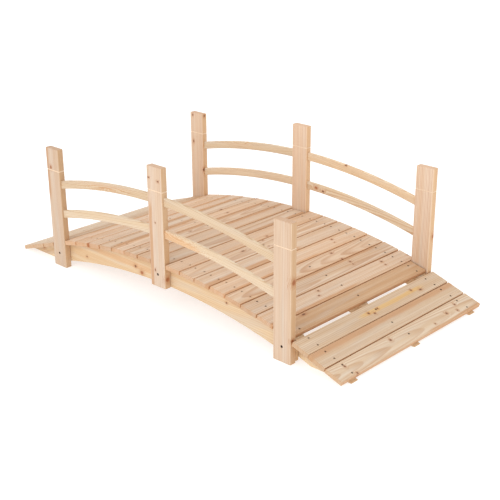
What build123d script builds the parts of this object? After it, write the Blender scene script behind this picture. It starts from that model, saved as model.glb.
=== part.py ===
from build123d import *
import os
from math import asin, atan2, cos, hypot, sin, sqrt, tan

# A small arched garden footbridge of bare softwood, in millimetres.
# X runs along the bridge, Y across it, Z up; the end posts stand on Z = 0.

# Deck arch: top surface of the planks at mid span, and its radius
deck_crown = 160.0
deck_radius = 2140.0

# Deck planks, one set for each bay, laid across the arch
plank_width = 62.5
plank_gap = 3.7
plank_thick = 14.0
plank_length = 700.0
plank_ease = 1.5
planks_per_bay = 7
post_side_gap = 2.5
short_plank_gap = 1.0

# Posts: bolted outside the fascia boards, their outer faces flush with the planks' ends
post_width = 67.0
post_thick = 24.0
post_ease = 3.0
post_top_ease = 2.0
end_post_height = 430.0
middle_post_height = 397.0
middle_post_drop = 1.0
groove_below_top = 78.0
groove_width = 2.0
groove_depth = 1.0
cut_overrun = 2.0

# Handrails: bowed laths let into the posts' narrow sides
rail_radius = 2060.0
rail_depth = 28.5
rail_thick = 11.0
upper_rail_crown = 380.3
lower_rail_crown = 274.9
rail_tenon = 12.0
mortise_clearance = 0.25

# Fascia boards: arched, behind the posts
fascia_thick = 12.0
fascia_depth = 68.0
fascia_lower_radius = 2170.0

# Stringers: arched beams that the planks are nailed to
stringer_thick = 30.0
stringer_depth = 47.0
stringer_setback = 20.0

# Ramps: three planks on three sloping battens at each end
ramp_plank_count = 3
ramp_plank_gap = 2.5
ramp_gap = 5.8
ramp_drop = 6.5
ramp_toe_height = 4.5
batten_depth = 47.0
batten_tip_height = 2.0
butt_gap = 0.3

# Levels and places worked out from the sizes above
plank_bed_radius = deck_radius - plank_thick
plank_bed_crown = deck_crown - plank_thick
arch_centre_z = deck_crown - deck_radius
fascia_lower_crown = plank_bed_crown - fascia_depth
stringer_lower_radius = plank_bed_radius - stringer_depth
stringer_lower_crown = plank_bed_crown - stringer_depth
plank_pitch = plank_width + plank_gap
post_outer_y = plank_length / 2
post_inner_y = post_outer_y - post_thick
fascia_inner_y = post_inner_y - fascia_thick
stringer_centre_y = fascia_inner_y - stringer_thick / 2
short_plank_length = 2 * (post_inner_y - short_plank_gap)
first_plank_start = post_width / 2 + post_side_gap
bay_end = first_plank_start + planks_per_bay * plank_pitch - plank_gap + post_side_gap
end_post_inner_x = deck_radius * sin(bay_end / deck_radius)
end_post_x = end_post_inner_x + post_width / 2
end_post_outer_x = end_post_x + post_width / 2
stringer_end_x = end_post_outer_x - stringer_setback
middle_post_bottom = fascia_lower_crown - middle_post_drop
last_plank_centre = first_plank_start + planks_per_bay * plank_pitch + plank_width / 2
last_plank_end = last_plank_centre + plank_width / 2


def arc_z(crown, radius, x):
    return crown - radius + sqrt(radius * radius - x * x)


# The ramp planks run from just below the deck down to their toe above the ground
ramp_run = ramp_plank_count * (plank_width + ramp_plank_gap) - ramp_plank_gap
ramp_top_x = end_post_outer_x + ramp_gap
ramp_top_z = arc_z(deck_crown, deck_radius, ramp_top_x) - ramp_drop
ramp_fall = ramp_top_z - ramp_toe_height
ramp_angle = asin(ramp_fall / hypot(ramp_run, plank_thick)) - atan2(plank_thick, ramp_run)
ramp_bed_x = ramp_top_x - plank_thick * sin(ramp_angle)
ramp_bed_z = ramp_top_z - plank_thick * cos(ramp_angle)

# Sides of the bridge: the near side is at negative Y
sides = {"near": -1, "far": 1}
ends = {"left": -1, "right": 1}

os.makedirs("parts", exist_ok=True)


def save(piece, name):
    piece.part.label = name
    export_step(piece.part, f"parts/{name}.step")


def side_plane(centre_y, thick):
    # A sketch plane seen from the near side, at a board's inner or far face
    return Plane.XZ.offset(-(centre_y + thick / 2))


def band_profile(upper_crown, upper_radius, lower_crown, lower_radius, start_x, end_x):
    # The side view of a bowed board, between two upright end cuts
    middle_x = (start_x + end_x) / 2
    upper = [(x, arc_z(upper_crown, upper_radius, x)) for x in (start_x, middle_x, end_x)]
    lower = [(x, arc_z(lower_crown, lower_radius, x)) for x in (end_x, middle_x, start_x)]
    with BuildSketch() as profile:
        with BuildLine():
            ThreePointArc(*upper)
            Line(upper[2], lower[0])
            ThreePointArc(*lower)
            Line(lower[2], upper[0])
        make_face()
    return profile.sketch


def make_plank(name, bed_x, bed_z, angle, length):
    # A flat board across the bridge; its underside rests on the bed point
    bed = Plane(
        origin=(bed_x, 0, bed_z),
        x_dir=(cos(angle), 0, -sin(angle)),
        z_dir=(sin(angle), 0, cos(angle)),
    )
    with BuildPart() as plank:
        with BuildSketch(bed):
            Rectangle(plank_width, length)
        extrude(amount=plank_thick)
        fillet(plank.edges().filter_by(Axis.Y), radius=plank_ease)
    save(plank, name)


def make_deck_plank(name, centre, length):
    # The centre is measured along the arch from mid span
    angle = centre / deck_radius
    bed_x = plank_bed_radius * sin(angle)
    bed_z = arch_centre_z + plank_bed_radius * cos(angle)
    make_plank(name, bed_x, bed_z, angle, length)


def make_post(name, centre_x, side, bottom, height, rail_directions):
    centre_y = side * (post_outer_y - post_thick / 2)
    with BuildPart() as post:
        with BuildSketch(Plane.XY.offset(bottom)):
            with Locations((centre_x, centre_y)):
                RectangleRounded(post_width, post_thick, radius=post_ease)
        extrude(amount=height)
        fillet(post.faces().sort_by(Axis.Z)[-1].edges(), radius=post_top_ease)
        # Routed line round the post
        with BuildSketch(Plane.XY.offset(bottom + height - groove_below_top)):
            with Locations((centre_x, centre_y)):
                Rectangle(post_width + 2 * cut_overrun, post_thick + 2 * cut_overrun)
                RectangleRounded(
                    post_width - 2 * groove_depth,
                    post_thick - 2 * groove_depth,
                    radius=post_ease - groove_depth,
                    mode=Mode.SUBTRACT,
                )
        extrude(amount=groove_width, mode=Mode.SUBTRACT)
        # Mortises for the rails' ends
        slot_thick = rail_thick + 2 * mortise_clearance
        for direction in rail_directions:
            face_x = centre_x + direction * post_width / 2
            slot_end_x = face_x - direction * (rail_tenon + mortise_clearance)
            slot_mouth_x = face_x + direction * cut_overrun
            for crown in (upper_rail_crown, lower_rail_crown):
                with BuildSketch(side_plane(centre_y, slot_thick)):
                    add(
                        band_profile(
                            crown + mortise_clearance,
                            rail_radius,
                            crown - rail_depth - mortise_clearance,
                            rail_radius,
                            min(slot_end_x, slot_mouth_x),
                            max(slot_end_x, slot_mouth_x),
                        )
                    )
                extrude(amount=slot_thick, mode=Mode.SUBTRACT)
    save(post, name)


def make_rail(name, side, end, crown):
    centre_y = side * (post_outer_y - post_thick / 2)
    from_x = end * (post_width / 2 - rail_tenon)
    to_x = end * (end_post_inner_x + rail_tenon)
    with BuildPart() as rail:
        with BuildSketch(side_plane(centre_y, rail_thick)):
            add(
                band_profile(
                    crown,
                    rail_radius,
                    crown - rail_depth,
                    rail_radius,
                    min(from_x, to_x),
                    max(from_x, to_x),
                )
            )
        extrude(amount=rail_thick)
    save(rail, name)


def make_arch_board(name, centre_y, thick, lower_crown, lower_radius, half_length):
    with BuildPart() as board:
        with BuildSketch(side_plane(centre_y, thick)):
            add(
                band_profile(
                    plank_bed_crown,
                    plank_bed_radius,
                    lower_crown,
                    lower_radius,
                    -half_length,
                    half_length,
                )
            )
        extrude(amount=thick)
    save(board, name)


def make_ramp_battens(name, end):
    # Three sloping boards on edge, cut flat where they meet the ground
    top_x = stringer_end_x + butt_gap
    top_z = arc_z(plank_bed_crown, plank_bed_radius, top_x)
    shoulder_x = plank_bed_radius * sin(last_plank_end / deck_radius)
    shoulder_z = arc_z(plank_bed_crown, plank_bed_radius, shoulder_x)
    slope = tan(ramp_angle)
    tip_x = ramp_bed_x + (ramp_bed_z - batten_tip_height) / slope
    under_rise = batten_depth / cos(ramp_angle)
    under_top_z = ramp_bed_z + (ramp_bed_x - top_x) * slope - under_rise
    heel_x = ramp_bed_x + (ramp_bed_z - under_rise) / slope
    outline = [
        (top_x, top_z),
        (shoulder_x, shoulder_z),
        (ramp_bed_x, ramp_bed_z),
        (tip_x, batten_tip_height),
        (tip_x, 0),
        (heel_x, 0),
        (top_x, under_top_z),
    ]
    with BuildPart() as battens:
        for centre_y in (-stringer_centre_y, 0, stringer_centre_y):
            with BuildSketch(side_plane(centre_y, stringer_thick)):
                with BuildLine():
                    Polyline(*[(end * x, z) for x, z in outline], close=True)
                make_face()
            extrude(amount=stringer_thick)
    save(battens, name)


# Posts
for side_name, side in sides.items():
    make_post(
        f"{side_name}_middle_post", 0, side, middle_post_bottom, middle_post_height, (-1, 1)
    )
    for end_name, end in ends.items():
        make_post(
            f"{side_name}_{end_name}_post", end * end_post_x, side, 0, end_post_height, (-end,)
        )

# Handrails
for side_name, side in sides.items():
    for end_name, end in ends.items():
        make_rail(f"{side_name}_{end_name}_upper_rail", side, end, upper_rail_crown)
        make_rail(f"{side_name}_{end_name}_lower_rail", side, end, lower_rail_crown)

# Fascia boards and stringers
for side_name, side in sides.items():
    make_arch_board(
        f"{side_name}_fascia",
        side * (post_inner_y - fascia_thick / 2),
        fascia_thick,
        fascia_lower_crown,
        fascia_lower_radius,
        end_post_outer_x,
    )
for name, centre_y in (
    ("near_stringer", -stringer_centre_y),
    ("middle_stringer", 0),
    ("far_stringer", stringer_centre_y),
):
    make_arch_board(
        name,
        centre_y,
        stringer_thick,
        stringer_lower_crown,
        stringer_lower_radius,
        stringer_end_x,
    )

# Deck planks: a short one between the middle posts, full ones along each bay,
# and a short one between the end posts
make_deck_plank("middle_plank", 0, short_plank_length)
for end_name, end in ends.items():
    for number in range(planks_per_bay):
        centre = first_plank_start + plank_width / 2 + number * plank_pitch
        make_deck_plank(f"{end_name}_deck_plank_{number + 1}", end * centre, plank_length)
    make_deck_plank(f"{end_name}_end_plank", end * last_plank_centre, short_plank_length)

# Ramps
for end_name, end in ends.items():
    make_ramp_battens(f"{end_name}_ramp_battens", end)
    for number in range(ramp_plank_count):
        along = plank_width / 2 + number * (plank_width + ramp_plank_gap)
        bed_x = ramp_bed_x + along * cos(ramp_angle)
        bed_z = ramp_bed_z - along * sin(ramp_angle)
        make_plank(
            f"{end_name}_ramp_plank_{number + 1}", end * bed_x, bed_z, end * ramp_angle, plank_length
        )
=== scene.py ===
import math
import random

import bpy
from mathutils import Matrix, Vector


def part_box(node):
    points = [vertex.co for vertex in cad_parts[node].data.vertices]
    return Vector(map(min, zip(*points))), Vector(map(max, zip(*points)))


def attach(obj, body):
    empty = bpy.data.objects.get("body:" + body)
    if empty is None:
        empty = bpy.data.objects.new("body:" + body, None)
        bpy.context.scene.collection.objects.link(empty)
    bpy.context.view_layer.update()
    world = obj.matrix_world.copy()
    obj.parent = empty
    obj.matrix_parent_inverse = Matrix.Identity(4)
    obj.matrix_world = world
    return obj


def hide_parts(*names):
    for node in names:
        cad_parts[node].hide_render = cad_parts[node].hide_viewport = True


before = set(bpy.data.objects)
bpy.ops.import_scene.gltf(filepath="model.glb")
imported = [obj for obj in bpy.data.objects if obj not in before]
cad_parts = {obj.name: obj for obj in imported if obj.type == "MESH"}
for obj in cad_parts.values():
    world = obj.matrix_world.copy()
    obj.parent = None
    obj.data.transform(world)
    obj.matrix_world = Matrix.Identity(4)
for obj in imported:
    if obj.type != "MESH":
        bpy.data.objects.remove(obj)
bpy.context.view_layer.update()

# A small arched garden footbridge of bare softwood: posts, bowed handrails, planks
# nailed across arched beams, and a short ramp at each end. Everything is in metres.

print("frame loaded")


# Small helpers

hair = 1e-6  # two levels closer than this are the same
parallel = 0.999  # share of an edge's length that lies along the axis it follows
facing = 0.9  # part of a face's normal that points the way it faces
smoothUnder = 35  # degrees between faces that are shaded as one


def srgb(red, green, blue):
    # a colour as read off a screen, 0 to 255, as the shader wants it
    def straight(value):
        value /= 255
        return value / 12.92 if value <= 0.04045 else ((value + 0.055) / 1.055) ** 2.4
    return (straight(red), straight(green), straight(blue), 1.0)


def middleOf(nodeName):
    low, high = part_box(nodeName)
    return (low + high) / 2


def sizeOf(nodeName):
    low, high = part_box(nodeName)
    return high - low


def activate(obj):
    bpy.ops.object.select_all(action="DESELECT")
    obj.select_set(True)
    bpy.context.view_layer.objects.active = obj


def settle(obj):
    # puts the object's place, turn and size into its mesh
    activate(obj)
    bpy.ops.object.transform_apply(location=True, rotation=True, scale=True)
    return obj


def pick(obj, kind, test):
    # selects the edges or faces that pass the test, and leaves the object in edit mode
    mesh = obj.data
    activate(obj)
    bpy.context.tool_settings.mesh_select_mode = (False, kind == "edges", kind == "faces")
    for item in (*mesh.vertices, *mesh.edges, *mesh.polygons):
        item.select = False
    chosen = mesh.edges if kind == "edges" else mesh.polygons
    for item in chosen:
        item.select = test(item)
    bpy.ops.object.mode_set(mode="EDIT")


def edgeEnds(obj, edge):
    return [obj.data.vertices[index].co for index in edge.vertices]


def runsAlong(obj, edge, axis):
    # true for an edge that is parallel to the axis
    first, second = edgeEnds(obj, edge)
    span = second - first
    return abs(span[axis]) > parallel * span.length


def done():
    bpy.ops.object.mode_set(mode="OBJECT")


def easeEdges(obj, ease, test):
    # rounds the edges that pass the test; ease is a width and a number of steps
    pick(obj, "edges", test)
    width, steps = ease
    bpy.ops.mesh.bevel(offset=width, segments=steps, affect="EDGES")
    done()


def addBlock(name, size, middle=(0, 0, 0)):
    bpy.ops.object.select_all(action="DESELECT")
    bpy.ops.mesh.primitive_cube_add(size=1, location=middle, scale=size)
    block = bpy.context.object
    block.name = name
    return settle(block)


def addRound(name, radius, depth, sides, middle=(0, 0, 0), turn=(0, 0, 0)):
    bpy.ops.object.select_all(action="DESELECT")
    bpy.ops.mesh.primitive_cylinder_add(
        vertices=sides, radius=radius, depth=depth, location=middle, rotation=turn
    )
    rod = bpy.context.object
    rod.name = name
    return settle(rod)


def copyOf(obj, name):
    twin = bpy.data.objects.new(name, obj.data.copy())
    bpy.context.scene.collection.objects.link(twin)
    return twin


def joined(pieces, name):
    bpy.ops.object.select_all(action="DESELECT")
    for piece in pieces:
        piece.select_set(True)
    bpy.context.view_layer.objects.active = pieces[0]
    bpy.ops.object.join()
    whole = bpy.context.object
    whole.name = name
    return settle(whole)


def cut(obj, cutters):
    # takes the cutters' shape out of the object
    tool = joined(cutters, "cutter")
    activate(obj)
    carve = obj.modifiers.new("carve", "BOOLEAN")
    carve.operation = "DIFFERENCE"
    carve.solver = "EXACT"
    carve.object = tool
    bpy.ops.object.modifier_apply(modifier=carve.name)
    bpy.data.objects.remove(tool)


def smooth(obj):
    activate(obj)
    bpy.ops.object.shade_smooth_by_angle(angle=math.radians(smoothUnder))


def finishPiece(obj, slotName, *nodeNames):
    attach(obj, "root")
    if nodeNames:
        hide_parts(*nodeNames)


# The arch, read from the planks' middles

crownMiddle = middleOf("middle_plank")
lastMiddle = middleOf("right_end_plank")
archDrop = crownMiddle.z - lastMiddle.z
archRadius = (lastMiddle.x ** 2 + archDrop ** 2) / (2 * archDrop)
archCentre = Vector((0, 0, crownMiddle.z - archRadius))


# Camera

cameraView = {
    "target": (0, 0.0721, 0.0796),
    "distance": 3.431,
    "azimuth": 43.824,  # degrees round from the near side, towards the right
    "elevation": 21.689,
    "roll": -0.346,
    "lens": 71.28,
    "sensor": 36,
}


def makeCamera():
    bpy.ops.object.camera_add()
    camera = bpy.context.object
    camera.data.lens = cameraView["lens"]
    camera.data.sensor_width = cameraView["sensor"]
    turn = (
        Matrix.Rotation(math.radians(cameraView["azimuth"]), 4, "Z")
        @ Matrix.Rotation(math.radians(90 - cameraView["elevation"]), 4, "X")
        @ Matrix.Rotation(math.radians(cameraView["roll"]), 4, "Z")
    )
    back = turn @ Vector((0, 0, cameraView["distance"]))
    camera.matrix_world = Matrix.Translation(Vector(cameraView["target"]) + back) @ turn
    bpy.context.scene.camera = camera


makeCamera()
print("camera placed")


# Floor and light

studio = {
    "floorSize": 80,
    "floorColour": srgb(196, 196, 196),
    "floorRoughness": 0.9,
    "floorGlow": 0.62,  # the floor is a lit white panel, which keeps the shadows pale
    "skyStrength": 0.93,
    "keyPlace": (-0.5, -6.2, 4.2),
    "keySize": 4.0,
    "keyPower": 125,
    "topPlace": (0.4, 0.6, 4.5),
    "topSize": 5.0,
    "topPower": 30,
}


def addLamp(name, place, size, power):
    bpy.ops.object.light_add(type="AREA", location=place)
    lamp = bpy.context.object
    lamp.name = name
    lamp.data.size = size
    lamp.data.energy = power
    lamp.rotation_euler = (-Vector(place)).to_track_quat("-Z", "Y").to_euler()


def makeStudio():
    bpy.ops.object.select_all(action="DESELECT")
    bpy.ops.mesh.primitive_plane_add(size=studio["floorSize"])
    floor = bpy.context.object
    floor.name = "floor"
    paint = bpy.data.materials.new("paleFloor")
    paint.use_nodes = True
    shader = paint.node_tree.nodes["Principled BSDF"]
    shader.inputs["Base Color"].default_value = studio["floorColour"]
    shader.inputs["Roughness"].default_value = studio["floorRoughness"]
    shader.inputs["Emission Color"].default_value = (1, 1, 1, 1)
    shader.inputs["Emission Strength"].default_value = studio["floorGlow"]
    floor.data.materials.append(paint)
    world = bpy.data.worlds.new("softSky")
    world.use_nodes = True
    sky = world.node_tree.nodes["Background"].inputs
    sky["Color"].default_value = (1, 1, 1, 1)
    sky["Strength"].default_value = studio["skyStrength"]
    bpy.context.scene.world = world
    bpy.context.scene.view_settings.view_transform = "Standard"
    addLamp("keyLamp", studio["keyPlace"], studio["keySize"], studio["keyPower"])
    addLamp("topLamp", studio["topPlace"], studio["topSize"], studio["topPower"])


makeStudio()
print("floor and light placed")


# Wood

def put(tree, kind, inputs=None, **settings):
    # adds a shader node; an input is a value or another node's socket
    made = tree.nodes.new(kind)
    for key, value in settings.items():
        setattr(made, key, value)
    for key, value in (inputs or {}).items():
        if isinstance(value, bpy.types.NodeSocket):
            tree.links.new(value, made.inputs[key])
        else:
            made.inputs[key].default_value = value
    return made


def sums(tree, operation, first, second=0.0, third=0.0):
    inputs = {0: first, 1: second, 2: third}
    return put(tree, "ShaderNodeMath", inputs, operation=operation).outputs[0]


def times(tree, first, second):
    return sums(tree, "MULTIPLY", first, second)


def vectors(tree, operation, first, second=(0, 0, 0)):
    made = put(tree, "ShaderNodeVectorMath", {0: first, 1: second}, operation=operation)
    return made.outputs["Value" if operation == "LENGTH" else "Vector"]


def ramp(tree, value, low, high, toLow=0.0, toHigh=1.0):
    # a soft step: toLow up to low, toHigh past high
    inputs = {"Value": value, "From Min": low, "From Max": high, "To Min": toLow, "To Max": toHigh}
    made = put(tree, "ShaderNodeMapRange", inputs, interpolation_type="SMOOTHSTEP")
    return made.outputs["Result"]


def blendColours(tree, share, first, second, kind="MIX"):
    inputs = {0: share, 6: first, 7: second}
    return put(tree, "ShaderNodeMix", inputs, data_type="RGBA", blend_type=kind).outputs[2]


def cloud(tree, place, scale, detail, stretch=(1, 1, 1)):
    pulled = vectors(tree, "MULTIPLY", place, stretch)
    inputs = {"Vector": pulled, "Scale": scale, "Detail": detail}
    return put(tree, "ShaderNodeTexNoise", inputs)


def split(tree, place):
    return put(tree, "ShaderNodeSeparateXYZ", {0: place}).outputs


def startGroup(name, inputs, outputs):
    tree = bpy.data.node_groups.new(name, "ShaderNodeTree")
    for label, kind in inputs.items():
        tree.interface.new_socket(name=label, in_out="INPUT", socket_type="NodeSocket" + kind)
    for label in outputs:
        tree.interface.new_socket(name=label, in_out="OUTPUT", socket_type="NodeSocketFloat")
    return tree, put(tree, "NodeGroupInput").outputs, put(tree, "NodeGroupOutput").inputs


def startMaterial(name):
    made = bpy.data.materials.new(name)
    made.use_nodes = True
    tree = made.node_tree
    place = put(tree, "ShaderNodeTexCoord").outputs["Object"]
    return made, tree, tree.nodes["Principled BSDF"], place


def addBump(tree, shader, strength, distance, height):
    inputs = {"Strength": strength, "Distance": distance, "Height": height}
    bump = put(tree, "ShaderNodeBump", inputs)
    tree.links.new(bump.outputs["Normal"], shader.inputs["Normal"])


grainValues = {
    "seedSpread": (37, 53, 71),  # moves each board to its own part of the noise
    "driftStretch": (1.6, 11, 11),
    "drift": 0.016,  # how far a ring wanders off its circle
    "darkens": (0.25, 0.86),  # shares of a year's growth between which the wood darkens
    "ends": (0.9, 1.0),
    "weakest": 0.4,  # strength of the faintest ring
    "fibreStretch": (9, 700, 700),
    "fibreRange": (0.3, 0.7),
    "streakStretch": (1.1, 60, 60),
    "streakRange": (0.34, 0.66),
}


def makeSawnGrain():
    # Yearly rings round a pith that runs along X, cut by the board's own faces, so that a
    # face shows lines or flames and an end shows arcs
    inputs = {
        "Place": "Vector", "Pith": "Vector", "Lean": "Vector",
        "Ring Width": "Float", "Swirl": "Float",
    }
    tree, given, result = startGroup("sawnGrain", inputs, ("Ring", "Fibre", "Streak"))
    link = tree.links.new
    seed = vectors(tree, "MULTIPLY", given["Pith"], grainValues["seedSpread"])
    seeded = vectors(tree, "ADD", given["Place"], seed)
    drift = cloud(tree, seeded, 1.0, 2.0, grainValues["driftStretch"]).outputs["Color"]
    drift = vectors(tree, "SUBTRACT", drift, (0.5, 0.5, 0.5))
    drift = vectors(tree, "MULTIPLY", drift, (0, grainValues["drift"], grainValues["drift"]))
    along = split(tree, given["Place"])["X"]
    inputs = {0: given["Lean"], "Scale": along}
    leaning = put(tree, "ShaderNodeVectorMath", inputs, operation="SCALE").outputs["Vector"]
    fromPith = vectors(tree, "SUBTRACT", given["Place"], given["Pith"])
    fromPith = vectors(tree, "ADD", fromPith, drift)
    fromPith = vectors(tree, "ADD", fromPith, leaning)
    fromPith = vectors(tree, "MULTIPLY", fromPith, (0, 1, 1))
    reach = sums(tree, "ADD", vectors(tree, "LENGTH", fromPith), given["Swirl"])
    year = sums(tree, "DIVIDE", reach, given["Ring Width"])
    growth = sums(tree, "FRACT", year)
    rise = ramp(tree, growth, *grainValues["darkens"])
    fall = ramp(tree, growth, *grainValues["ends"], 1.0, 0.0)
    inputs = {"W": sums(tree, "FLOOR", year)}
    luck = put(tree, "ShaderNodeTexWhiteNoise", inputs, noise_dimensions="1D").outputs["Value"]
    weakest = grainValues["weakest"]
    strength = sums(tree, "MULTIPLY_ADD", luck, 1 - weakest, weakest)
    fibre = cloud(tree, seeded, 1.0, 3.0, grainValues["fibreStretch"]).outputs["Fac"]
    streak = cloud(tree, seeded, 1.0, 1.0, grainValues["streakStretch"]).outputs["Fac"]
    link(times(tree, times(tree, rise, fall), strength), result["Ring"])
    link(ramp(tree, fibre, *grainValues["fibreRange"]), result["Fibre"])
    link(ramp(tree, streak, *grainValues["streakRange"]), result["Streak"])
    return tree


knotValues = {
    "roughness": 160,  # scale of the bumps in a knot's outline
    "outline": (0.5, 0.75),
    "coreBorder": (0.45, 1.0),  # in radii
    "haloFade": 0.42,
    "swirl": 1.8,  # how far the rings give way, in radii
    "soundRadius": 0.0055,  # larger knots are sound and red, smaller ones dead and dark
    "dead": srgb(116, 72, 44),
    "sound": srgb(168, 100, 56),
    "halo": srgb(214, 156, 102),
    "coreShare": 0.9,
    "haloShare": 0.65,
}


def makeTightKnot():
    # One branch that crosses the board: a dark core, a warm halo and the rings' swirl
    inputs = {
        "Place": "Vector", "Centre": "Vector", "Across": "Vector",
        "Radius": "Float", "Stretch": "Float",
    }
    tree, given, result = startGroup("tightKnot", inputs, ("Core", "Halo", "Swirl"))
    link = tree.links.new
    offset = vectors(tree, "SUBTRACT", given["Place"], given["Centre"])
    offset = vectors(tree, "MULTIPLY", offset, given["Across"])
    squeeze = put(tree, "ShaderNodeCombineXYZ", {0: given["Stretch"], 1: 1.0, 2: 1.0})
    offset = vectors(tree, "DIVIDE", offset, squeeze.outputs[0])
    wobble = cloud(tree, given["Place"], knotValues["roughness"], 1.0).outputs["Fac"]
    away = sums(tree, "DIVIDE", vectors(tree, "LENGTH", offset), given["Radius"])
    away = times(tree, away, sums(tree, "MULTIPLY_ADD", wobble, *knotValues["outline"]))
    halo = sums(tree, "EXPONENT", times(tree, times(tree, away, away), -knotValues["haloFade"]))
    link(ramp(tree, away, *knotValues["coreBorder"], 1.0, 0.0), result["Core"])
    link(halo, result["Halo"])
    link(times(tree, halo, times(tree, given["Radius"], knotValues["swirl"])), result["Swirl"])
    return tree


edgeValues = {
    "arrisPaintedLight": 0.0035,  # how far in from an edge the painted light on the arris reaches
    "patches": 0.0016,  # how much that varies
    "patchScale": 60,
    "patchStretch": (0.5, 1, 1),
    "end": (0.0004, 0.0014),
    # how far the painted shade on the narrow sides reaches
    "side": (0.0002, 0.0024),
}


def makeBoardEdges():
    # Where a board's long arrises, its sawn ends and its narrow sides are; the arris and side masks
    # place painted light and shade
    inputs = {"Place": "Vector", "Half Size": "Vector", "Width": "Float"}
    tree, given, result = startGroup("boardEdges", inputs, ("Arris Painted Light", "End", "Side"))
    link = tree.links.new
    outward = vectors(tree, "ABSOLUTE", given["Place"])
    inward = split(tree, vectors(tree, "SUBTRACT", given["Half Size"], outward))
    corner = sums(tree, "MAXIMUM", inward["Y"], inward["Z"])
    place, stretch = given["Place"], edgeValues["patchStretch"]
    patchy = cloud(tree, place, edgeValues["patchScale"], 2.0, stretch).outputs["Fac"]
    patches = edgeValues["patches"]
    corner = sums(tree, "ADD", corner, sums(tree, "MULTIPLY_ADD", patchy, patches, -patches / 2))
    link(ramp(tree, corner, 0.0, given["Width"], 1.0, 0.0), result["Arris Painted Light"])
    link(ramp(tree, inward["X"], *edgeValues["end"], 1.0, 0.0), result["End"])
    link(ramp(tree, inward["Y"], *edgeValues["side"], 1.0, 0.0), result["Side"])
    return tree


bandValues = {
    "stretch": (7, 40, 40),
    "wander": 0.014,  # how far the borders wander
    "border": (0.25, 0.6),  # in widths
    "fade": 0.05,
    "share": 0.8,
}


def makeColourBand():
    # A band of heartwood or resin along the board, with soft and wandering borders
    inputs = {
        "Place": "Vector",
        "Across": "Float", "Width": "Float", "From": "Float", "To": "Float",
    }
    tree, given, result = startGroup("colourBand", inputs, ("Share",))
    place = split(tree, given["Place"])
    wander = cloud(tree, given["Place"], 1.0, 3.0, bandValues["stretch"]).outputs["Fac"]
    wander = times(tree, sums(tree, "SUBTRACT", wander, 0.5), bandValues["wander"])
    away = sums(tree, "SUBTRACT", place["Y"], given["Across"])
    away = sums(tree, "ABSOLUTE", sums(tree, "ADD", away, wander))
    away = sums(tree, "DIVIDE", away, given["Width"])
    sideways = ramp(tree, away, *bandValues["border"], 1.0, 0.0)
    fade = bandValues["fade"]
    afterStart = ramp(tree, sums(tree, "SUBTRACT", place["X"], given["From"]), 0.0, fade)
    beforeEnd = ramp(tree, sums(tree, "SUBTRACT", given["To"], place["X"]), 0.0, fade)
    share = times(tree, sideways, times(tree, afterStart, beforeEnd))
    tree.links.new(share, result["Share"])
    return tree


groups = {
    "grain": makeSawnGrain(),
    "knot": makeTightKnot(),
    "edges": makeBoardEdges(),
    "band": makeColourBand(),
}

# Colours and figure of each kind of timber
# arris colour: a painted highlight on posts, rails and frame boards, painted seam shade on deck and
# ramp planks
# side colour: painted shade on the boards' narrow sides
finishes = {
    "post": {
        "pale": srgb(231, 213, 193), "warm": srgb(225, 198, 168), "late": srgb(202, 160, 126),
        "arrisPaintedLight": srgb(244, 226, 202), "side": srgb(216, 174, 127),
        "ringWidth": 0.0046, "ringShare": 0.9, "heartShare": 0.3, "flatShare": 0.15,
        "tone": (0.93, 1.01), "warmth": 0.03,
    },
    "rail": {
        "pale": srgb(229, 212, 187), "warm": srgb(223, 200, 166), "late": srgb(198, 158, 114),
        "arrisPaintedLight": srgb(240, 225, 200), "side": srgb(227, 205, 171),
        "ringWidth": 0.0040, "ringShare": 0.75, "heartShare": 0, "flatShare": 0.1,
        "tone": (0.93, 1.02), "warmth": 0.04,
    },
    "frame": {
        "pale": srgb(232, 208, 172), "warm": srgb(224, 190, 146), "late": srgb(208, 162, 114),
        "arrisPaintedLight": srgb(238, 217, 182), "side": srgb(224, 190, 148),
        "ringWidth": 0.0048, "ringShare": 0.5, "heartShare": 0, "flatShare": 0.3,
        "tone": (0.87, 0.95), "warmth": 0.04,
    },
    "deck": {
        "pale": srgb(230, 208, 184), "warm": srgb(218, 184, 148), "late": srgb(194, 148, 108),
        "arrisPaintedLight": srgb(226, 194, 158), "side": srgb(212, 158, 110),
        "ringWidth": 0.0044, "ringShare": 0.7, "heartShare": 0.55, "flatShare": 0.45,
        "tone": (0.89, 1.05), "warmth": 0.06,
    },
    "end_board": {
        "pale": srgb(218, 186, 150), "warm": srgb(206, 164, 120), "late": srgb(184, 136, 94),
        "arrisPaintedLight": srgb(220, 184, 146), "side": srgb(200, 148, 104),
        "ringWidth": 0.0044, "ringShare": 0.65, "heartShare": 0, "flatShare": 0.3,
        "tone": (0.94, 1.0), "warmth": 0.03,
    },
    "ramp": {
        "pale": srgb(227, 209, 185), "warm": srgb(216, 188, 154), "late": srgb(194, 152, 112),
        "arrisPaintedLight": srgb(224, 196, 162), "side": srgb(206, 156, 112),
        "ringWidth": 0.0046, "ringShare": 0.7, "heartShare": 0.3, "flatShare": 0.3,
        "tone": (0.9, 1.0), "warmth": 0.04,
    },
}
greyish = srgb(216, 206, 192)
heartwood = srgb(206, 156, 110)
paleHeart = srgb(226, 186, 142)
resin = srgb(236, 196, 126)

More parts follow.
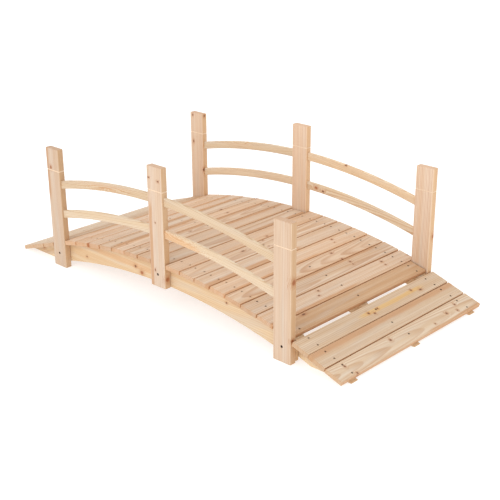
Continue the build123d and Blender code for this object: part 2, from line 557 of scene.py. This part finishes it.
# How a board is cut from the log, drawn by chance for each one
figureValues = {
    "slabPithAcross": 0.012,  # off the board's middle, where the board is cut as a slab
    "slabPithDepth": (0.03, 0.07),
    "quarterPithAcross": (0.05, 0.09),
    "quarterPithDepth": 0.03,
    "lean": (0.015, 0.04),
    "ringSpread": (0.8, 1.3),
    "heartEdge": (0.75, 1),  # in half widths
    "heartBegin": (-1.2, 0.2),  # in half lengths
    "heartRun": (0.8, 2),
    "heartWidth": (0.012, 0.026),
}
woodValues = {
    "streakShare": 0.7,
    "coolStretch": (4, 34, 34),
    "coolRange": (0.5, 0.72),
    "coolShare": 0.45,
    "fibreShare": 0.24,
    # share of the painted shade on the narrow sides
    "sideShadeShare": 0.75,
    # share of the painted light along the arrises
    "arrisPaintedLightShare": 0.5,
    "endShare": 0.5,
    "roughness": 0.66,
    "ringRoughness": -0.12,
    "endRoughness": 0.15,
    "fibreHeight": 0.5,
    "ringHeight": 0.7,
    "bumpStrength": 0.35,
    "bumpDistance": 0.0004,
    "refraction": 1.48,
}


def boardTurn(along, across):
    # a board's own axes: along the grain, across its face, through it
    along, across = Vector(along).normalized(), Vector(across).normalized()
    through = along.cross(across)
    return Matrix((along, across, through)).transposed()


def either(chance, spread):
    return chance.uniform(-spread, spread)


def useGroup(tree, groupName, inputs):
    return put(tree, "ShaderNodeGroup", inputs, node_tree=groups[groupName]).outputs


def heartwoodAtEdge(chance, half):
    # a band as makeColourBand takes it, along one of the board's edges
    across = chance.choice((-1, 1)) * half[1] * chance.uniform(*figureValues["heartEdge"])
    begin = chance.uniform(*figureValues["heartBegin"]) * half[0]
    end = begin + chance.uniform(*figureValues["heartRun"]) * half[0]
    return (across, chance.uniform(*figureValues["heartWidth"]), begin, end, heartwood)


def drawFigure(chance, finish):
    # where the pith lies, how it leans and how wide the rings are
    isSlab = chance.random() < finish["flatShare"]
    side = chance.choice((-1, 1))
    seed = chance.random()
    if isSlab:
        across = either(chance, figureValues["slabPithAcross"])
        depth = -side * chance.uniform(*figureValues["slabPithDepth"])
    else:
        across = side * chance.uniform(*figureValues["quarterPithAcross"])
        depth = either(chance, figureValues["quarterPithDepth"])
    leanAcross, leanDepth = figureValues["lean"]
    return {
        "Pith": (seed, across, depth),
        "Lean": (0, either(chance, leanAcross), either(chance, leanDepth)),
        "Ring Width": finish["ringWidth"] * chance.uniform(*figureValues["ringSpread"]),
    }


def boardWood(nodeName, finishName, turn, middle, half):
    # turn and middle set the board's own axes, half is half its size along them
    name = nodeName + "_wood"
    finish = finishes[finishName]
    knots, flames = knotPlaces.get(nodeName, ()), flamePlaces.get(nodeName, ())
    bands = bandPlaces.get(nodeName, ())
    chance = random.Random(name)
    wood, tree, shader, place = startMaterial(name)
    link = tree.links.new
    inputs = {"Vector": place, "Location": middle, "Rotation": turn.to_euler()}
    place = put(tree, "ShaderNodeMapping", inputs, vector_type="TEXTURE").outputs["Vector"]

    halo, flame, swirl = 0.0, 0.0, 0.0
    cores = []
    for number, (along, across, through, radius, stretch) in enumerate((*knots, *flames)):
        inputs = {
            "Place": place,
            "Centre": (along, across or 0, through or 0),
            "Across": (1, across is not None, through is not None),
            "Radius": radius,
            "Stretch": stretch,
        }
        knot = useGroup(tree, "knot", inputs)
        swirl = sums(tree, "ADD", swirl, knot["Swirl"])
        if number < len(knots):
            halo = sums(tree, "MAXIMUM", halo, knot["Halo"])
            kind = "sound" if radius > knotValues["soundRadius"] else "dead"
            cores.append((knot["Core"], knotValues[kind]))
        else:
            flame = sums(tree, "MAXIMUM", flame, knot["Halo"])

    if not bands and chance.random() < finish["heartShare"]:
        bands = (heartwoodAtEdge(chance, half),)
    inputs = {"Place": place, "Swirl": swirl, **drawFigure(chance, finish)}
    grain = useGroup(tree, "grain", inputs)
    inputs = {"Place": place, "Half Size": half, "Width": edgeValues["arrisPaintedLight"]}
    edges = useGroup(tree, "edges", inputs)
    ring, fibre = grain["Ring"], grain["Fibre"]

    def stained(mask, share, stain, kind="MIX"):
        return blendColours(tree, times(tree, mask, share), colour, stain, kind)

    colour = finish["pale"]
    colour = stained(grain["Streak"], woodValues["streakShare"], finish["warm"])
    cool = cloud(tree, place, 1.0, 2.0, woodValues["coolStretch"]).outputs["Fac"]
    cool = ramp(tree, cool, *woodValues["coolRange"])
    colour = stained(cool, woodValues["coolShare"], greyish)
    for across, width, begin, end, bandColour in bands:
        inputs = {"Place": place, "Across": across, "Width": width, "From": begin, "To": end}
        band = useGroup(tree, "band", inputs)
        colour = stained(band["Share"], bandValues["share"], bandColour)
    colour = stained(ring, finish["ringShare"], finish["late"])
    if flames:
        colour = stained(ring, flame, knotValues["halo"])
    colour = stained(fibre, woodValues["fibreShare"], finish["late"], "MULTIPLY")
    # painted shade on the narrow sides
    colour = stained(edges["Side"], woodValues["sideShadeShare"], finish["side"])
    # painted light along the eased arrises: a highlight on posts, rails and frame boards, seam
    # shade on deck and ramp planks
    colour = stained(edges["Arris Painted Light"], woodValues["arrisPaintedLightShare"], finish["arrisPaintedLight"])
    colour = stained(edges["End"], woodValues["endShare"], finish["late"])
    if knots:
        colour = stained(halo, knotValues["haloShare"], knotValues["halo"], "MULTIPLY")
    for core, coreColour in cores:
        colour = stained(core, knotValues["coreShare"], coreColour)
    tone, warmth = chance.uniform(*finish["tone"]), chance.uniform(0, finish["warmth"])
    # painted shade and painted light for the boards listed
    tone *= paintedLightTone.get(nodeName, 1)
    toneColour = (tone, tone * (1 - warmth), tone * (1 - 2 * warmth), 1)
    colour = blendColours(tree, 1.0, colour, toneColour, "MULTIPLY")
    link(colour, shader.inputs["Base Color"])

    roughness, ringRoughness = woodValues["roughness"], woodValues["ringRoughness"]
    rough = sums(tree, "MULTIPLY_ADD", ring, ringRoughness, roughness)
    rough = sums(tree, "ADD", rough, times(tree, edges["End"], woodValues["endRoughness"]))
    link(rough, shader.inputs["Roughness"])
    height = times(tree, ring, woodValues["ringHeight"])
    height = sums(tree, "MULTIPLY_ADD", fibre, woodValues["fibreHeight"], height)
    addBump(tree, shader, woodValues["bumpStrength"], woodValues["bumpDistance"], height)
    shader.inputs["IOR"].default_value = woodValues["refraction"]
    return wood


cutValues = {
    "smooth": srgb(241, 220, 196),
    "torn": srgb(231, 204, 175),
    "scale": 500,
    "stretch": (1, 1, 0.2),
    "range": (0.3, 0.7),
    "roughness": (0.1, 0.8),  # what the fuzz adds, and what is there without it
    "bumpStrength": 0.3,
    "bumpDistance": 0.0002,
}
steelValues = {
    "bare": srgb(84, 62, 46),
    "rusty": srgb(52, 38, 30),
    "scale": 420,
    "range": (0.35, 0.65),
    "roughness": (0.3, 0.4),  # what the rust adds, and what is there without it
    "metal": (-0.3, 0.5),
    "scratchScale": 900,
    "bumpStrength": 0.4,
    "bumpDistance": 0.0002,
}


def makeFreshCut():
    # Newly cut wood in the routed line of a post: paler, and rougher than the planed face
    fresh, tree, shader, place = startMaterial("freshCut")
    fuzz = cloud(tree, place, cutValues["scale"], 3.0, cutValues["stretch"]).outputs["Fac"]
    fuzz = ramp(tree, fuzz, *cutValues["range"])
    colour = blendColours(tree, fuzz, cutValues["smooth"], cutValues["torn"])
    rough = sums(tree, "MULTIPLY_ADD", fuzz, *cutValues["roughness"])
    tree.links.new(colour, shader.inputs["Base Color"])
    tree.links.new(rough, shader.inputs["Roughness"])
    addBump(tree, shader, cutValues["bumpStrength"], cutValues["bumpDistance"], fuzz)
    return fresh


def makeSteel():
    # Dull, lightly rusted steel of the nails and bolts
    steel, tree, shader, place = startMaterial("dullSteel")
    rust = cloud(tree, place, steelValues["scale"], 3.0).outputs["Fac"]
    rust = ramp(tree, rust, *steelValues["range"])
    colour = blendColours(tree, rust, steelValues["bare"], steelValues["rusty"])
    rough = sums(tree, "MULTIPLY_ADD", rust, *steelValues["roughness"])
    metal = sums(tree, "MULTIPLY_ADD", rust, *steelValues["metal"])
    tree.links.new(colour, shader.inputs["Base Color"])
    tree.links.new(rough, shader.inputs["Roughness"])
    tree.links.new(metal, shader.inputs["Metallic"])
    scratch = cloud(tree, place, steelValues["scratchScale"], 2.0).outputs["Fac"]
    addBump(tree, shader, steelValues["bumpStrength"], steelValues["bumpDistance"], scratch)
    return steel


steel = makeSteel()
freshCut = makeFreshCut()
print("wood and steel mixed")


# Planks and their nails

plankValues = {
    "ease": (0.0018, 3),  # round of the long arrises, and its steps
    "endEase": (0.0006, 1),
    "shorter": 0.0022,  # most that a plank's end falls short
    "slip": 0.0004,  # most that a plank sits off its mark
    "turnSlip": 0.12,  # degrees
}
nailValues = {
    "radius": 0.0031,
    "height": 0.0011,
    "ease": 0.0004,
    "sides": 12,
    "dimpleRadius": 0.0036,
    "depth": 0.0012,  # head below the wood
    "lines": (-0.293, 0.291),
    "pair": (-0.0182, 0.0178),  # across the plank
    "middle": (0.001, 0.0),  # across and along
    "scatter": 0.0022,
}
plankSize = sizeOf("middle_plank")


def makePlank(name, length):
    plank = addBlock(name, (plankSize.x, length, plankSize.z))
    easeEdges(plank, plankValues["ease"], lambda edge: runsAlong(plank, edge, 1))

    def atEnd(edge):
        return all(abs(abs(co.y) - length / 2) < hair for co in edgeEnds(plank, edge))

    easeEdges(plank, plankValues["endEase"], atEnd)
    smooth(plank)
    return plank


def makeNail():
    nail = addRound("nail", nailValues["radius"], nailValues["height"], nailValues["sides"])
    pick(nail, "faces", lambda face: face.normal.z > facing)
    bpy.ops.mesh.bevel(offset=nailValues["ease"], segments=2, affect="EDGES")
    done()
    smooth(nail)
    nail.data.materials.append(steel)
    return nail


def nailPlaces(chance):
    # across and along the plank
    marks = [(across, line) for line in nailValues["lines"] for across in nailValues["pair"]]
    marks.append(nailValues["middle"])
    scatter = nailValues["scatter"]
    return [(x + either(chance, scatter), y + either(chance, scatter)) for x, y in marks]


# Knots by board: along, across, through, radius and stretch in metres, on the board's own
# axes from its middle; None goes right through that way
knotPlaces = {
    "left_deck_plank_2": ((-0.078, -0.004, None, 0.0038, 1.2),),
    "left_deck_plank_3": ((0.148, 0.014, None, 0.0042, 1.7), (0.344, -0.027, None, 0.004, 2)),
    "left_deck_plank_4": ((0.168, 0.028, None, 0.0045, 1.5),),
    "left_deck_plank_5": ((-0.349, -0.026, None, 0.006, 1),),
    "left_ramp_plank_1": ((-0.169, -0.027, None, 0.004, 2),),
    "left_ramp_plank_3": ((-0.12, 0.012, None, 0.005, 1.3),),
    "right_deck_plank_1": ((0.061, 0.0235, None, 0.0042, 1.3),),
    "right_deck_plank_2": (
        (-0.089, -0.010, None, 0.0044, 1.9), (0.024, -0.029, None, 0.004, 1.2),
        (0.005, 0.019, None, 0.003, 1.2),
    ),
    "right_deck_plank_4": ((0.209, -0.015, None, 0.0044, 1.2), (0.2, 0.004, None, 0.003, 1)),
    "right_deck_plank_5": ((0.130, -0.016, None, 0.0042, 1.4), (0.129, 0.029, None, 0.0034, 1.2)),
    "right_deck_plank_6": ((0.138, -0.010, None, 0.0044, 1), (0.134, 0.006, None, 0.0034, 1)),
    "right_deck_plank_7": (
        (0.229, -0.017, None, 0.0046, 1.1), (0.226, 0.002, None, 0.0042, 0.8),
        (-0.092, -0.017, None, 0.0044, 1.1), (-0.110, 0.002, None, 0.0036, 1.3),
        (0.347, 0.005, None, 0.005, 1),
    ),
    "right_end_plank": ((-0.227, -0.023, None, 0.0042, 2.4),),
    "right_ramp_plank_1": (
        (-0.036, 0, None, 0.0052, 1), (-0.017, 0.010, None, 0.0046, 1),
        (0.009, -0.001, None, 0.0042, 1), (0.1885, -0.004, None, 0.0044, 1),
        (0.2225, 0.010, None, 0.0046, 1.5),
    ),
    "right_ramp_plank_3": (
        (-0.2915, -0.010, None, 0.0054, 0.7), (-0.280, 0.028, None, 0.004, 1),
        (-0.075, -0.012, None, 0.005, 1.1), (0.120, 0.014, None, 0.0032, 1),
        (0.199, 0.0015, None, 0.005, 1), (0.263, -0.012, None, 0.0046, 1),
        (0.247, 0.011, None, 0.004, 1),
    ),
    "near_left_post": ((0.147, -0.0105, None, 0.0056, 1.3),),
    "near_middle_post": (
        (0.1605, -0.025, None, 0.0052, 0.5), (0.155, 0.018, None, 0.0052, 0.6),
        (0.0175, -0.002, None, 0.0024, 1.2), (-0.1435, -0.010, None, 0.0036, 1.3),
        (-0.168, 0.0335, -0.0015, 0.0076, 1.2),
    ),
    "near_right_post": ((0.0385, 0.0335, 0, 0.0084, 1.3), (-0.140, 0.0335, -0.0037, 0.0058, 1)),
    "far_left_post": (
        (0.2055, -0.019, None, 0.0038, 1.6), (0.208, 0.0335, -0.001, 0.0044, 1.4),
        (0.101, -0.017, None, 0.0042, 1.7), (-0.0056, 0.0335, -0.009, 0.0052, 1.4),
    ),
    "far_right_post": ((-0.015, 0.0335, 0.006, 0.0064, 1.3),),
    "near_fascia": (
        (-0.107, 0.012, None, 0.0075, 1.2), (-0.138, 0.026, None, 0.005, 1.3),
        (-0.400, -0.012, None, 0.0036, 1.2), (0.283, 0.026, None, 0.004, 1),
    ),
    "far_right_lower_rail": ((-0.191, 0.007, None, 0.006, 1.4), (-0.159, 0.005, None, 0.0048, 1.3)),
    "far_right_upper_rail": (
        (-0.063, 0.026, None, 0.0032, 1.5), (-0.001, 0.034, None, 0.0042, 1.5),
    ),
    "left_ramp_battens": ((-0.03, -0.006, None, 0.006, 1.4),),
}
# Flames in the grain, given like the knots that they stand round
flamePlaces = {
    "near_right_lower_rail": ((-0.175, 0.002, None, 0.014, 5),),
    "near_left_upper_rail": ((0.022, 0.017, None, 0.008, 9),),
    "far_left_upper_rail": ((-0.026, 0.018, None, 0.010, 5),),
}
# Heartwood and resin by board: across, width, from, to and colour
bandPlaces = {
    "right_ramp_plank_1": ((0.001, 0.016, -0.10, 0.26, resin),),
    "right_ramp_plank_2": ((-0.025, 0.034, -0.40, 0.40, heartwood),),
    "right_deck_plank_3": ((0.024, 0.020, -0.40, 0.10, heartwood),),
    "left_deck_plank_2": ((-0.026, 0.018, -0.20, 0.40, heartwood),),
    "near_middle_post": ((-0.024, 0.016, -0.25, 0.10, heartwood),),
    "near_fascia": ((0.030, 0.022, -0.56, -0.02, paleHeart),),
    "near_right_lower_rail": ((0.004, 0.030, -0.30, -0.06, paleHeart),),
}
# Boards painted darker or paler than their fellows: painted shade on the near boards, painted light
# on the far posts and rails
paintedLightTone = {
    "near_left_post": 0.84,
    "near_right_post": 0.94,
    "far_middle_post": 1.14,
    "far_right_post": 1.12,
    "near_left_upper_rail": 0.9,
    "near_left_lower_rail": 0.96,
    "far_right_upper_rail": 1.15,
    "far_right_lower_rail": 1.1,
}

masters = {
    "short": makePlank("shortPlank", sizeOf("middle_plank").y),
    "long": makePlank("longPlank", sizeOf("right_deck_plank_1").y),
}
masterNail = makeNail()
nails = []


def addDimples(plank, places, top):
    # the shallow holes that the nails' heads sit in
    reach = 2 * (nailValues["depth"] + nailValues["height"])
    radius, sides = nailValues["dimpleRadius"], nailValues["sides"]
    cut(plank, [addRound("dimple", radius, reach, sides, (x, y, top)) for x, y in places])
    smooth(plank)


def layPlank(nodeName, master, tilt, slotName):
    # tilt is in degrees, downwards to the right
    chance = random.Random(nodeName + "Lay")
    plank = copyOf(masters[master], nodeName + "_board")
    top = plankSize.z / 2
    places = nailPlaces(chance)
    addDimples(plank, places, top)
    shorter = chance.uniform(0, plankValues["shorter"])
    acrossSlip = either(chance, plankValues["slip"])
    middle = middleOf(nodeName) + Vector((acrossSlip, either(chance, shorter) / 2, 0))
    turnSlip = either(chance, math.radians(plankValues["turnSlip"]))
    turn = Matrix.Rotation(math.radians(tilt), 4, "Y") @ Matrix.Rotation(turnSlip, 4, "Z")
    shrink = Matrix.Diagonal((1, 1 - 2 * shorter / plankSize.y, 1, 1))
    plank.matrix_world = Matrix.Translation(middle) @ turn @ shrink
    settle(plank)
    headHeight = top - nailValues["depth"] - nailValues["height"] / 2
    for x, y in places:
        nail = copyOf(masterNail, "nail")
        place = Matrix.Translation((x, y, headHeight))
        nail.matrix_world = Matrix.Translation(middle) @ turn @ place
        nails.append(nail)
    flat = turn.to_3x3()
    ownTurn = boardTurn(flat @ Vector((0, 1, 0)), flat @ Vector((1, 0, 0)))
    half = (sizeOf(nodeName).y / 2 - shorter, plankSize.x / 2, plankSize.z / 2)
    plank.data.materials.append(boardWood(nodeName, slotName, ownTurn, middle, half))
    finishPiece(plank, slotName, nodeName)


def archTilt(nodeName):
    middle = middleOf(nodeName)
    return math.degrees(math.atan2(middle.x, middle.z - archCentre.z))


layPlank("middle_plank", "short", 0, "deck")
for end in ("left", "right"):
    number = 1
    while f"{end}_deck_plank_{number}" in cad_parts:
        nodeName = f"{end}_deck_plank_{number}"
        layPlank(nodeName, "long", archTilt(nodeName), "deck")
        number += 1
    layPlank(f"{end}_end_plank", "short", archTilt(f"{end}_end_plank"), "end_board")
    fall = middleOf(f"{end}_ramp_plank_1") - middleOf(f"{end}_ramp_plank_2")
    slope = math.degrees(math.atan2(fall.z, abs(fall.x))) * (1 if end == "right" else -1)
    for number in (1, 2, 3):
        layPlank(f"{end}_ramp_plank_{number}", "long", slope, "ramp")

deckNails = joined(nails, "plank_nails")
finishPiece(deckNails, "deck")
for master in (*masters.values(), masterNail):
    bpy.data.objects.remove(master)
print("planks laid and nailed")


# Posts with their bolts

postValues = {
    "ease": (0.0032, 5),  # round of the upright edges, and its steps
    "topEase": (0.0022, 3),
    "footEase": (0.0008, 2),
    "lineBelowTop": 0.078,  # routed line round the post
    "lineWidth": 0.002,
    "lineDepth": 0.001,
    "lineSlope": 0.0005,
}
boltValues = {
    "above": {"end": 0.049, "middle": 0.0425},  # above the post's foot
    "sides": 24,
    "holeRadius": 0.0047,
    "headRadius": 0.0042,
    "headBelow": 0.0015,
    "headHeight": 0.003,
    "socketRadius": 0.0022,
    "socketDepth": 0.0018,
}
faceOut = (math.radians(90), 0, 0)  # turns a round piece to stand out of a post's face


def makePost(nodeName):
    low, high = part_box(nodeName)
    post = addBlock(nodeName + "_board", high - low, (low + high) / 2)

    def atTop(edge):
        return all(co.z > high.z - hair for co in edgeEnds(post, edge))

    def atFoot(edge):
        return all(co.z < low.z + hair for co in edgeEnds(post, edge))

    easeEdges(post, postValues["ease"], lambda edge: runsAlong(post, edge, 2))
    easeEdges(post, postValues["topEase"], atTop)
    easeEdges(post, postValues["footEase"], atFoot)
    lineLow = high.z - postValues["lineBelowTop"]
    lineHigh = lineLow + postValues["lineWidth"]
    slopeLow, slopeHigh = lineLow - postValues["lineSlope"], lineHigh + postValues["lineSlope"]
    activate(post)
    bpy.ops.object.mode_set(mode="EDIT")
    for level in (slopeLow, lineLow, lineHigh, slopeHigh):
        bpy.ops.mesh.select_all(action="SELECT")
        bpy.ops.mesh.bisect(plane_co=(0, 0, level), plane_no=(0, 0, 1))
    done()
    pick(post, "faces", lambda face: lineLow < face.center.z < lineHigh)
    bpy.ops.transform.shrink_fatten(value=-postValues["lineDepth"])
    done()
    for face in post.data.polygons:
        face.material_index = 1 if slopeLow < face.center.z < slopeHigh else 0
    return post


def makeBolt(middle, outward):
    # a socket bolt's head, facing out of the post
    radius, height = boltValues["headRadius"], boltValues["headHeight"]
    bolt = addRound("bolt", radius, height, boltValues["sides"], middle, faceOut)
    pick(bolt, "faces", lambda face: face.normal.y * outward > facing)
    bpy.ops.mesh.inset(thickness=radius - boltValues["socketRadius"])
    bpy.ops.mesh.extrude_region_move(
        TRANSFORM_OT_translate={"value": (0, -outward * boltValues["socketDepth"], 0)}
    )
    done()
    smooth(bolt)
    bolt.data.materials.append(steel)
    return bolt


def boltPost(post, nodeName, outward):
    # sinks a bolt in the post's outer face
    low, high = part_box(nodeName)
    face = low.y if outward < 0 else high.y
    above = boltValues["above"]["middle" if "middle" in nodeName else "end"]
    x, z = (low.x + high.x) / 2, low.z + above
    reach = 2 * (boltValues["headBelow"] + boltValues["headHeight"])
    radius, sides = boltValues["holeRadius"], boltValues["sides"]
    cut(post, [addRound("boltHole", radius, reach, sides, (x, face, z), faceOut)])
    smooth(post)
    head = face - outward * (boltValues["headBelow"] + boltValues["headHeight"] / 2)
    return makeBolt((x, head, z), outward)


bolts = []
for side, outward in (("near", -1), ("far", 1)):
    for end in ("left", "middle", "right"):
        nodeName = f"{side}_{end}_post"
        post = makePost(nodeName)
        bolts.append(boltPost(post, nodeName, outward))
        half = sizeOf(nodeName) / 2
        ownTurn = boardTurn((0, 0, 1), (1, 0, 0))
        ownHalf = (half.z, half.x, half.y)
        wood = boardWood(nodeName, "post", ownTurn, middleOf(nodeName), ownHalf)
        post.data.materials.append(wood)
        post.data.materials.append(freshCut)
        finishPiece(post, "post", nodeName)
boltHeads = joined(bolts, "post_bolts")
finishPiece(boltHeads, "post")
print("posts and bolts made")


# Rails, arched boards and battens: the frame's own shapes with their arrises eased

boardValues = {
    "rail": (0.003, 4),  # round of the arrises, and its steps
    "fascia": (0.0015, 3),
    "sawn": (0.0008, 2),
    "merge": 0.00001,
    "flatWithin": 0.2,  # degrees
    "sharpOver": 40,
}


def easedBoard(nodeName, slotName, kind):
    board = copyOf(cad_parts[nodeName], nodeName + "_board")
    board.data.materials.clear()
    activate(board)
    bpy.ops.mesh.customdata_custom_splitnormals_clear()
    bpy.ops.object.mode_set(mode="EDIT")
    bpy.ops.mesh.select_all(action="SELECT")
    bpy.ops.mesh.remove_doubles(threshold=boardValues["merge"])
    bpy.ops.mesh.dissolve_limited(angle_limit=math.radians(boardValues["flatWithin"]))
    bpy.ops.mesh.normals_make_consistent(inside=False)
    done()
    bevel = board.modifiers.new("ease", "BEVEL")
    bevel.width, bevel.segments = boardValues[kind]
    bevel.limit_method = "ANGLE"
    bevel.angle_limit = math.radians(boardValues["sharpOver"])
    bpy.ops.object.modifier_apply(modifier=bevel.name)
    smooth(board)
    middle, half = middleOf(nodeName), sizeOf(nodeName) / 2
    # the grain runs along the chord of the bow
    slope = math.asin(middle.x / archRadius)
    along, across = (math.cos(slope), 0, -math.sin(slope)), (math.sin(slope), 0, math.cos(slope))
    ownHalf = (half.x, half.z, half.y)
    wood = boardWood(nodeName, slotName, boardTurn(along, across), middle, ownHalf)
    board.data.materials.append(wood)
    finishPiece(board, slotName, nodeName)


for side in ("near", "far"):
    for end in ("left", "right"):
        for level in ("upper", "lower"):
            easedBoard(f"{side}_{end}_{level}_rail", "rail", "rail")
    easedBoard(f"{side}_fascia", "frame", "fascia")
for place in ("near", "middle", "far"):
    easedBoard(f"{place}_stringer", "frame", "sawn")
for end in ("left", "right"):
    easedBoard(f"{end}_ramp_battens", "frame", "sawn")
print("rails and frame boards made")
